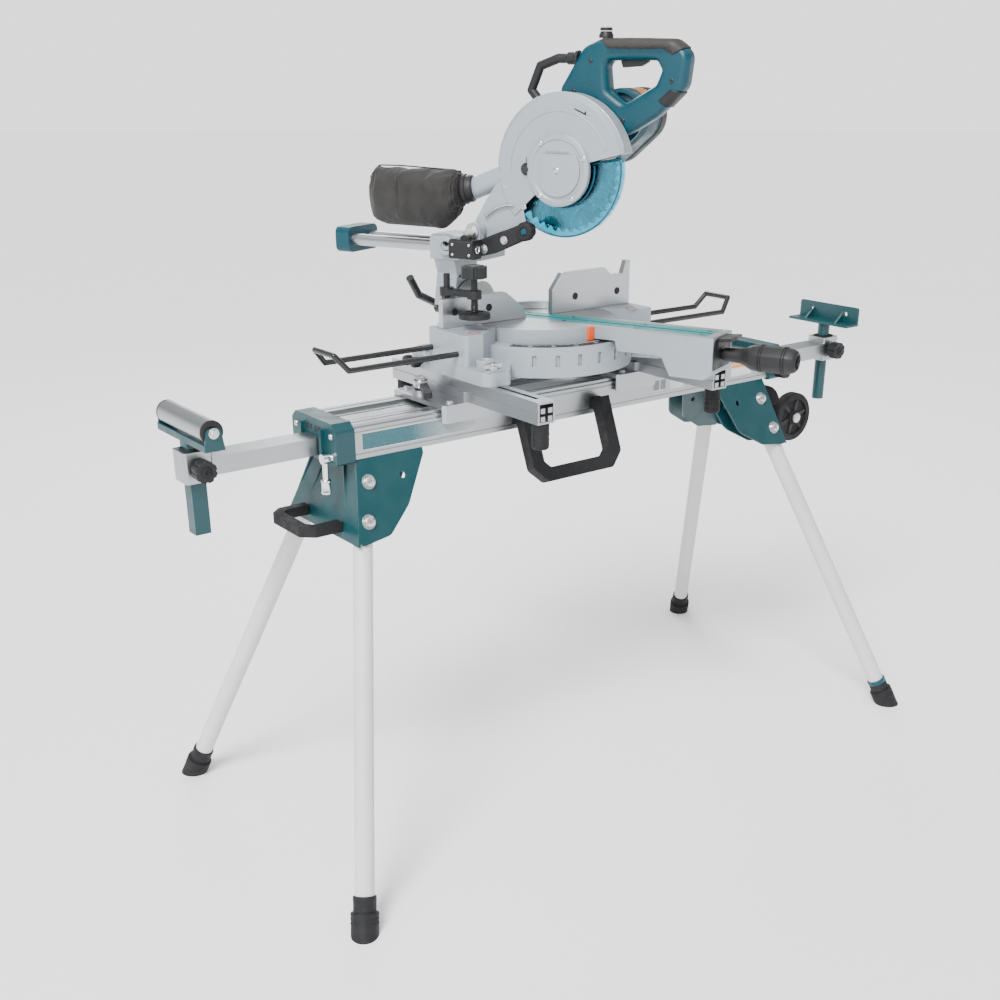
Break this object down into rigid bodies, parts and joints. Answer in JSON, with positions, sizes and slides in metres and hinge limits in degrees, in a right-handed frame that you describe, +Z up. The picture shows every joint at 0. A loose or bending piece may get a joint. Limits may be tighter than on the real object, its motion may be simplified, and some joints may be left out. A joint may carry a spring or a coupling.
{
  "type": "mitre saw on stand",
  "caption": "Slide compound mitre saw bolted to a folding leg stand with extending roller and stop supports, carry handle and wheels.",
  "frame": {"origin": "on the floor under the middle of the stand's beam", "axes": "+X along the beam to the user's right, -Y towards the user, +Z up"},
  "size_m": [1.596, 0.8988, 1.416],
  "materials": {
    "profile_aluminium": "satin extruded aluminium",
    "teal_paint": "semi-gloss teal powder coat",
    "leg_tube": "light grey textured paint on steel tube",
    "rubber_black": "matt moulded rubber",
    "black_plastic": "fine grained black nylon",
    "steel": "zinc plated steel",
    "cast_grey": "light silver grey paint on castings",
    "fence_aluminium": "satin cast aluminium, faces milled",
    "black_steel": "black paint on steel rod",
    "chrome": "polished chrome",
    "kerf_turquoise": "turquoise plastic",
    "teal_plastic": "teal blue moulded nylon",
    "grip_rubber": "soft dark grey elastomer",
    "clear_guard": "tinted clear polycarbonate",
    "blade_steel": "ground steel with brazed tips",
    "spring_steel": "oiled spring steel",
    "winding": "copper windings and steel stack",
    "bag_cloth": "dark grey woven dust bag cloth"
  },
  "bodies": {
    "stand": {"beam": "profile_aluminium", "end_caps": "teal_paint", "leg_housing_left": "teal_paint", "leg_housing_right": "teal_paint", "leg_pivots": "steel", "handles": "black_plastic"},
    "front_left_leg": {"leg_front_left": "leg_tube", "foot_front_left": "rubber_black"},
    "rear_left_leg": {"leg_rear_left": "leg_tube", "foot_rear_left": "rubber_black"},
    "front_right_leg": {"leg_front_right": "leg_tube", "foot_front_right": "rubber_black"},
    "rear_right_leg": {"leg_rear_right": "leg_tube", "foot_rear_right": "rubber_black"},
    "wheel_pair": {"wheels": "black_plastic"},
    "left_lock": {"extension_lock_lever": "chrome"},
    "right_lock": {"extension_lock_knob": "black_plastic"},
    "left_arm": {"extension_left": "profile_aluminium"},
    "left_knob": {"collar_knob_left": "black_plastic"},
    "roller_head": {"roller_post": "teal_paint"},
    "work_roller": {"roller": "profile_aluminium"},
    "right_arm": {"extension_right": "profile_aluminium"},
    "right_knob": {"collar_knob_right": "black_plastic"},
    "stop_head": {"stop_post": "teal_paint"},
    "tool_carriage": {"bracket_rails": "profile_aluminium", "bracket_saddles": "cast_grey", "rail_posts": "rubber_black", "tool_bolts": "steel", "base_casting": "cast_grey", "fence": "fence_aluminium", "vise_stand": "black_steel"},
    "left_clamp": {"clamp_lever_left": "black_plastic"},
    "right_clamp": {"clamp_lever_right": "black_plastic"},
    "left_support": {"side_rod_left": "black_steel"},
    "right_support": {"side_rod_right": "black_steel"},
    "vise_foot": {"vise_pad": "black_steel"},
    "vise_spindle": {"vise_screw": "black_plastic"},
    "table": {"turntable": "cast_grey", "kerf_boards": "kerf_turquoise"},
    "mitre_lock": {"mitre_grip": "black_plastic"},
    "mitre_detent": {"detent_lever": "black_plastic"},
    "bevel_unit": {"bevel_housing": "cast_grey"},
    "bevel_clamp": {"bevel_lever": "black_plastic"},
    "slide_carriage": {"slide_poles": "chrome", "pole_end_cap": "teal_plastic", "hinge_block": "cast_grey", "laser_unit": "black_plastic", "return_spring": "spring_steel"},
    "head": {"blade_case": "cast_grey", "motor_housing": "teal_plastic", "handle": "teal_plastic", "handle_grip": "grip_rubber", "carry_bar": "black_steel", "dust_bag": "bag_cloth"},
    "guard": {"lower_guard": "clear_guard"},
    "arbor": {"blade": "blade_steel", "spindle": "steel"},
    "rotor": {"armature": "winding"},
    "switch": {"trigger": "black_plastic"},
    "switch_lock": {"lock_button": "black_plastic"}
  },
  "joints": [
    {"name": "front_left_leg_fold", "type": "hinge", "parent": "stand", "child": "front_left_leg", "pos_m": [-0.499, -0.066, 0.69], "axis": [0, -0.928, 0.3725], "range_deg": [0, 105]},
    {"name": "rear_left_leg_fold", "type": "hinge", "parent": "stand", "child": "rear_left_leg", "pos_m": [-0.499, 0.066, 0.69], "axis": [0, -0.928, -0.3725], "range_deg": [0, 105]},
    {"name": "front_right_leg_fold", "type": "hinge", "parent": "stand", "child": "front_right_leg", "pos_m": [0.48, -0.066, 0.69], "axis": [0, 0.928, -0.3725], "range_deg": [0, 93]},
    {"name": "rear_right_leg_fold", "type": "hinge", "parent": "stand", "child": "rear_right_leg", "pos_m": [0.48, 0.066, 0.69], "axis": [0, 0.928, 0.3725], "range_deg": [0, 93]},
    {"name": "wheel_roll", "type": "hinge", "parent": "stand", "child": "wheel_pair", "pos_m": [0.63, 0, 0.627], "axis": [0, 1, 0], "continuous": true},
    {"name": "left_lock_turn", "type": "hinge", "parent": "stand", "child": "left_lock", "pos_m": [-0.56, -0.052, 0.742], "axis": [-1, 0, 0], "range_deg": [0, 90]},
    {"name": "right_lock_turn", "type": "hinge", "parent": "stand", "child": "right_lock", "pos_m": [0.534, -0.09, 0.757], "axis": [0, -1, 0], "continuous": true},
    {"name": "left_extension_slide", "type": "slide", "parent": "stand", "child": "left_arm", "axis": [-1, 0, 0], "range_m": [-0.17, 0.22]},
    {"name": "right_extension_slide", "type": "slide", "parent": "stand", "child": "right_arm", "axis": [1, 0, 0], "range_m": [-0.17, 0.22]},
    {"name": "left_knob_turn", "type": "hinge", "parent": "left_arm", "child": "left_knob", "pos_m": [-0.774, -0.031, 0.757], "axis": [0, -1, 0], "continuous": true},
    {"name": "right_knob_turn", "type": "hinge", "parent": "right_arm", "child": "right_knob", "pos_m": [0.774, -0.031, 0.757], "axis": [0, -1, 0], "continuous": true},
    {"name": "roller_height", "type": "slide", "parent": "left_arm", "child": "roller_head", "axis": [0, 0, 1], "range_m": [-0.01, 0.075]},
    {"name": "stop_height", "type": "slide", "parent": "right_arm", "child": "stop_head", "axis": [0, 0, 1], "range_m": [-0.01, 0.075]},
    {"name": "roller_spin", "type": "hinge", "parent": "roller_head", "child": "work_roller", "pos_m": [-0.774, 0, 0.83], "axis": [0, 1, 0], "continuous": true},
    {"name": "bracket_travel", "type": "slide", "parent": "stand", "child": "tool_carriage", "axis": [1, 0, 0], "range_m": [-0.16, 0.3]},
    {"name": "left_clamp_turn", "type": "hinge", "parent": "tool_carriage", "child": "left_clamp", "pos_m": [-0.3165, 0.022, 0.82], "axis": [0, 0, -1], "range_deg": [0, 60]},
    {"name": "right_clamp_turn", "type": "hinge", "parent": "tool_carriage", "child": "right_clamp", "pos_m": [0.0925, 0.022, 0.82], "axis": [0, 0, -1], "range_deg": [0, 60]},
    {"name": "left_support_slide", "type": "slide", "parent": "tool_carriage", "child": "left_support", "axis": [-1, 0, 0], "range_m": [-0.205, 0]},
    {"name": "right_support_slide", "type": "slide", "parent": "tool_carriage", "child": "right_support", "axis": [1, 0, 0], "range_m": [-0.205, 0]},
    {"name": "vise_travel", "type": "slide", "parent": "tool_carriage", "child": "vise_foot", "axis": [0, 0, 1], "range_m": [-0.018, 0.01]},
    {"name": "vise_turn", "type": "hinge", "parent": "vise_foot", "child": "vise_spindle", "pos_m": [-0.242, -0.046, 0.982], "axis": [0, 0, 1], "continuous": true},
    {"name": "mitre_turn", "type": "hinge", "parent": "tool_carriage", "child": "table", "pos_m": [-0.064, -0.01, 0.922], "axis": [0, 0, 1], "range_deg": [-72.5, 37.5]},
    {"name": "mitre_lock_turn", "type": "hinge", "parent": "table", "child": "mitre_lock", "pos_m": [0.09673, -0.39803, 0.888], "axis": [0.3827, -0.9239, 0], "continuous": true},
    {"name": "mitre_detent_press", "type": "hinge", "parent": "table", "child": "mitre_detent", "pos_m": [0.07656, -0.34934, 0.902], "axis": [0.9239, 0.3827, 0], "range_deg": [0, 8], "stiffness_Nm_per_rad": 0.6, "springref_deg": -17.19},
    {"name": "bevel_tilt", "type": "hinge", "parent": "table", "child": "bevel_unit", "pos_m": [-0.12523, 0.13782, 0.922], "axis": [-0.3827, 0.9239, 0], "range_deg": [-45, 5]},
    {"name": "bevel_clamp_turn", "type": "hinge", "parent": "bevel_unit", "child": "bevel_clamp", "pos_m": [-0.14972, 0.19695, 0.922], "axis": [-0.3827, 0.9239, 0], "range_deg": [-25, 25]},
    {"name": "head_slide", "type": "slide", "parent": "bevel_unit", "child": "slide_carriage", "axis": [0.3827, -0.9239, 0], "range_m": [0, 0.185]},
    {"name": "head_chop", "type": "hinge", "parent": "slide_carriage", "child": "head", "pos_m": [-0.10992, 0.10087, 1.072], "axis": [0.9239, 0.3827, 0], "range_deg": [0, 50], "stiffness_Nm_per_rad": 8, "springref_deg": -126.05},
    {"name": "guard_swing", "type": "hinge", "parent": "head", "child": "guard", "pos_m": [-0.04563, -0.05435, 1.184], "axis": [0.9239, 0.3827, 0], "range_deg": [-160, 0]},
    {"name": "blade_spin", "type": "hinge", "parent": "head", "child": "arbor", "pos_m": [-0.04563, -0.05435, 1.184], "axis": [0.9239, 0.3827, 0], "continuous": true},
    {"name": "rotor_spin", "type": "hinge", "parent": "head", "child": "rotor", "pos_m": [0.05168, -0.05409, 1.24], "axis": [0.9239, 0.3827, 0], "continuous": true},
    {"name": "trigger_pull", "type": "hinge", "parent": "head", "child": "switch", "pos_m": [0.02331, -0.11887, 1.365], "axis": [0.9239, 0.3827, 0], "range_deg": [-7, 0], "stiffness_Nm_per_rad": 0.4, "springref_deg": 17.19},
    {"name": "lock_button_press", "type": "slide", "parent": "head", "child": "switch_lock", "axis": [0, 0, -1], "range_m": [0, 0.004], "stiffness_N_per_m": 300, "springref_m": -0.005}
  ],
  "couplings": [
    {"joint": "guard_swing", "follows": "head_chop", "ratio": -3.2},
    {"joint": "rotor_spin", "follows": "blade_spin", "ratio": -2.5532},
    {"joint": "vise_turn", "follows": "vise_travel", "rad_per_m": 785.4}
  ]
}
